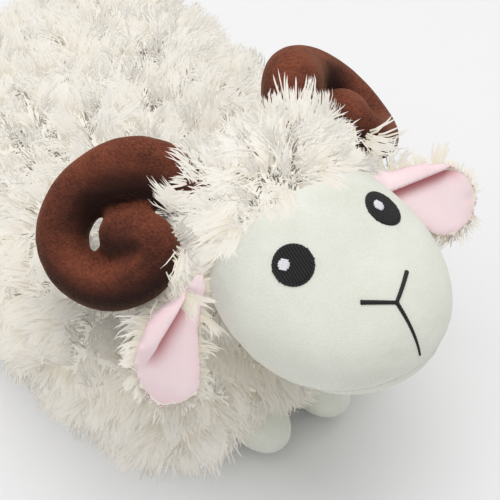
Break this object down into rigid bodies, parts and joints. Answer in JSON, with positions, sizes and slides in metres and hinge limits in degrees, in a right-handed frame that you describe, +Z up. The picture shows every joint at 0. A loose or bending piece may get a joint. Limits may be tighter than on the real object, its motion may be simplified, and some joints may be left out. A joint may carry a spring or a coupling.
{
  "type": "plush ram toy",
  "caption": "Plush ram lying on its belly: shaggy cream fur, smooth face with embroidered eyes and mouth, curled brown horns, pink-lined ears, short feet and a tail.",
  "frame": {"origin": "on the belly's flat underside, in the middle plane of the head", "axes": "+Z up, -Y the way the head faces, +X the toy's own left"},
  "size_m": [0.3077, 0.5279, 0.2334],
  "materials": {
    "cream_fur": "long shaggy cream fur in loose clumps",
    "smooth_cream_plush": "short smooth off-white pile",
    "brown_plush": "short brown pile with a soft sheen",
    "pink_plush": "short pale pink pile",
    "black_thread": "satin-stitch black embroidery thread",
    "white_thread": "satin-stitch white embroidery thread",
    "polyester_stuffing": "loose polyester filling"
  },
  "bodies": {
    "torso": {"body_fur_cover": "cream_fur", "belly_panel": "cream_fur", "body_stuffing": "polyester_stuffing"},
    "neck": {"neck": "cream_fur"},
    "head": {"head_fur_hood": "cream_fur", "face_panel": "smooth_cream_plush", "chin_gusset": "smooth_cream_plush", "head_stuffing": "polyester_stuffing", "eye_left": "black_thread", "eye_right": "black_thread", "eye_glint_left": "white_thread", "eye_glint_right": "white_thread", "mouth_stitching": "black_thread", "horn_left": "brown_plush", "horn_right": "brown_plush"},
    "ear_left": {"ear_back_left": "cream_fur", "ear_lining_left": "pink_plush"},
    "ear_right": {"ear_back_right": "cream_fur", "ear_lining_right": "pink_plush"},
    "front_foot_left": {"front_foot_left": "smooth_cream_plush"},
    "front_foot_right": {"front_foot_right": "smooth_cream_plush"},
    "hind_foot_left": {"hind_foot_left": "smooth_cream_plush"},
    "hind_foot_right": {"hind_foot_right": "smooth_cream_plush"},
    "tail": {"tail": "cream_fur"}
  },
  "joints": [
    {"name": "neck_turn", "type": "hinge", "parent": "torso", "child": "neck", "pos_m": [0, -0.145, 0.165], "axis": [0, -0.7071, 0.7071], "range_deg": [-12, 12], "stiffness_Nm_per_rad": 3},
    {"name": "head_nod", "type": "hinge", "parent": "neck", "child": "head", "pos_m": [0, -0.145, 0.165], "axis": [1, 0, 0], "range_deg": [-4, 12], "stiffness_Nm_per_rad": 3},
    {"name": "ear_flap_left", "type": "hinge", "parent": "head", "child": "ear_left", "pos_m": [0.0735, -0.144, 0.171], "axis": [0, -1, 0], "range_deg": [-15, 40], "stiffness_Nm_per_rad": 0.02},
    {"name": "ear_flap_right", "type": "hinge", "parent": "head", "child": "ear_right", "pos_m": [-0.0735, -0.144, 0.171], "axis": [0, 1, 0], "range_deg": [-5, 44], "stiffness_Nm_per_rad": 0.02},
    {"name": "front_foot_bend_left", "type": "hinge", "parent": "torso", "child": "front_foot_left", "pos_m": [0.01551, -0.1632, 0.0215], "axis": [0.9962, -0.0872, 0], "range_deg": [-20, 20], "stiffness_Nm_per_rad": 0.02},
    {"name": "front_foot_bend_right", "type": "hinge", "parent": "torso", "child": "front_foot_right", "pos_m": [-0.0363, -0.15867, 0.0215], "axis": [0.9962, -0.0872, 0], "range_deg": [-20, 20], "stiffness_Nm_per_rad": 0.02},
    {"name": "hind_foot_bend_left", "type": "hinge", "parent": "torso", "child": "hind_foot_left", "pos_m": [0.10264, 0.21313, 0.021], "axis": [0.8387, -0.5446, 0], "range_deg": [-20, 20], "stiffness_Nm_per_rad": 0.02},
    {"name": "hind_foot_bend_right", "type": "hinge", "parent": "torso", "child": "hind_foot_right", "pos_m": [-0.05675, 0.22708, 0.021], "axis": [0.9205, 0.3907, 0], "range_deg": [-20, 20], "stiffness_Nm_per_rad": 0.02},
    {"name": "tail_wag", "type": "hinge", "parent": "torso", "child": "tail", "pos_m": [0.02421, 0.23455, 0.068], "axis": [0.0298, 0.3407, 0.9397], "range_deg": [-20, 20], "stiffness_Nm_per_rad": 0.02}
  ]
}
